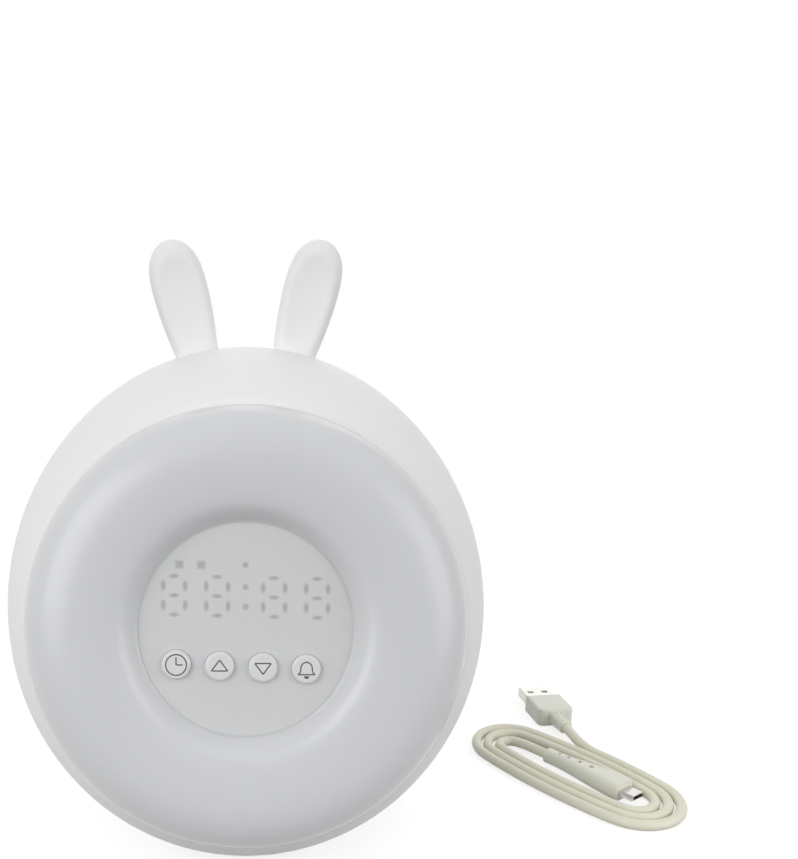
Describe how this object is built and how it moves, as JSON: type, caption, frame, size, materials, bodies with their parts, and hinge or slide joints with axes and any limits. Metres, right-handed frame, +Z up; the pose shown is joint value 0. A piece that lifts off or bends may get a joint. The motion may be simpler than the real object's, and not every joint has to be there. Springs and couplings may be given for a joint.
{
  "type": "kids alarm clock with night light",
  "caption": "Round leaning alarm clock with rabbit-like ears and feet, a glowing ring face with a digital display, rear speaker grille, and a charging cable beside it.",
  "frame": {"origin": "on the table under the belly's pad, where the round body touches down between the feet", "axes": "+Z up, -Y the way the display faces, +X to the right of someone who looks at the display"},
  "size_m": [0.233, 0.158, 0.1939],
  "materials": {
    "white_shell": "fine matte white ABS",
    "grey_shell": "fine matte white ABS, a shade greyer",
    "white_gloss": "smooth white with grey printed icons",
    "white_inner": "plain white moulding",
    "diffuser": "milky translucent white with a soft sheen",
    "segment": "milky light guides",
    "lamp": "small moulded lamps",
    "board": "green solder mask",
    "board_white": "white solder mask",
    "black_trim": "black moulded",
    "steel_screw": "bright zinc plate",
    "cell_steel": "smooth steel",
    "spring_steel": "plated spring steel",
    "speaker_steel": "dark pressed steel",
    "speaker_paper": "pressed dark paper",
    "magnet": "sintered dark ferrite",
    "silicone": "soft clear-white silicone",
    "cord": "smooth ivory sheath",
    "cord_mould": "satin ivory overmould",
    "plug_steel": "nickel plate",
    "plug_white": "white insert"
  },
  "bodies": {
    "clock": {"rear_shell": "white_shell", "rear_hub": "grey_shell", "coin_cell": "cell_steel", "cell_contact_low": "spring_steel", "cell_contact_side": "spring_steel", "port_shell": "spring_steel", "port_tongue": "black_trim", "port_board": "board", "diffuser": "diffuser", "display_window": "diffuser", "front_switches": "black_trim", "display_segments": "segment", "display_reflector": "white_inner", "control_board": "board", "board_parts": "black_trim", "light_tray": "white_inner", "light_board": "board_white", "light_lamps": "lamp", "speaker_basket": "speaker_steel", "speaker_cone": "speaker_paper", "speaker_magnet": "magnet", "light_switch": "black_trim", "light_switch_board": "board", "inner_screws": "steel_screw", "ear_left": "white_shell", "ear_right": "white_shell", "foot_left": "white_shell", "foot_right": "white_shell", "foot_pads": "silicone", "belly_pad": "silicone", "cable_hank": "cord", "cable_lead_a": "cord", "cable_lead_b": "cord", "usb_shell": "plug_steel", "usb_tongue": "plug_white", "usb_grip": "cord_mould", "micro_grip": "cord_mould", "micro_shell": "plug_steel"},
    "clock_button": {"clock_button": "white_gloss"},
    "up_button": {"up_button": "white_gloss"},
    "down_button": {"down_button": "white_gloss"},
    "alarm_button": {"alarm_button": "white_gloss"},
    "light_button": {"light_button": "white_shell"},
    "battery_door": {"battery_door": "grey_shell", "door_screw": "steel_screw"}
  },
  "joints": [
    {"name": "clock_press", "type": "slide", "parent": "clock", "child": "clock_button", "axis": [0, 0.9703, -0.2419], "range_m": [0, 0.0005], "stiffness_N_per_m": 400},
    {"name": "up_press", "type": "slide", "parent": "clock", "child": "up_button", "axis": [0, 0.9703, -0.2419], "range_m": [0, 0.0005], "stiffness_N_per_m": 400},
    {"name": "down_press", "type": "slide", "parent": "clock", "child": "down_button", "axis": [0, 0.9703, -0.2419], "range_m": [0, 0.0005], "stiffness_N_per_m": 400},
    {"name": "alarm_press", "type": "slide", "parent": "clock", "child": "alarm_button", "axis": [0, 0.9703, -0.2419], "range_m": [0, 0.0005], "stiffness_N_per_m": 400},
    {"name": "light_press", "type": "slide", "parent": "clock", "child": "light_button", "axis": [0, -0.8465, -0.5323], "range_m": [0, 0.0006], "stiffness_N_per_m": 500},
    {"name": "battery_door_lift", "type": "slide", "parent": "clock", "child": "battery_door", "axis": [0, 0.9703, -0.2419], "range_m": [0, 0.03]}
  ]
}
